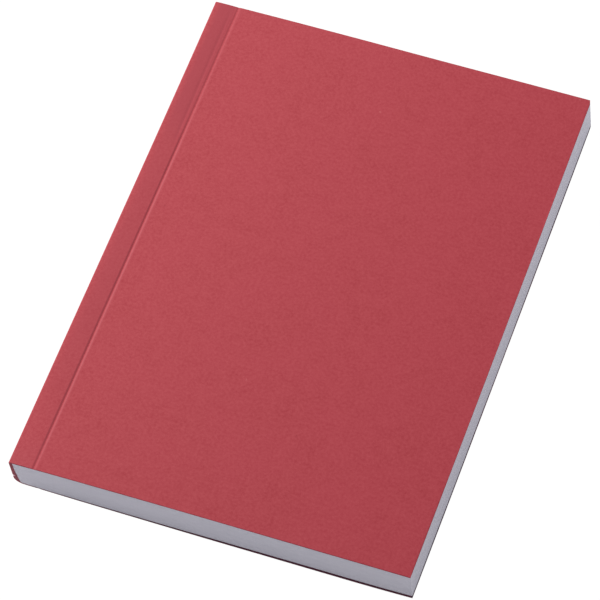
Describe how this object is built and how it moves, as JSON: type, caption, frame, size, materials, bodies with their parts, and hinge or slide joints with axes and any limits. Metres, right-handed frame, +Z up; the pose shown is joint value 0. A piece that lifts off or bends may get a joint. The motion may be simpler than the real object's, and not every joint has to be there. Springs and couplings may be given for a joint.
{
  "type": "softcover notebook",
  "caption": "Flat softcover notebook: a block of plain leaves glued into a wrapped red card cover, whose front and back open along scores beside the spine.",
  "frame": {"origin": "centre of the back cover's outer face, on the surface that the notebook lies on", "axes": "+X from the spine to the fore-edge, +Y from the tail to the head, +Z up out of the front cover"},
  "size_m": [0.148, 0.21, 0.015],
  "materials": {
    "leaf_paper": "matte",
    "hot_melt_glue": "waxy",
    "cover_card": "matte"
  },
  "bodies": {
    "block": {"text_block": "leaf_paper", "spine_glue": "hot_melt_glue", "cover_spine": "cover_card"},
    "front_cover": {"front_cover": "cover_card"},
    "back_cover": {"back_cover": "cover_card"}
  },
  "joints": [
    {"name": "front_score", "type": "hinge", "parent": "block", "child": "front_cover", "pos_m": [-0.0649, 0, 0.015], "axis": [0, -1, 0], "range_deg": [0, 175]},
    {"name": "back_score", "type": "hinge", "parent": "block", "child": "back_cover", "pos_m": [-0.0649, 0, 0], "axis": [0, 1, 0], "range_deg": [0, 175]}
  ]
}
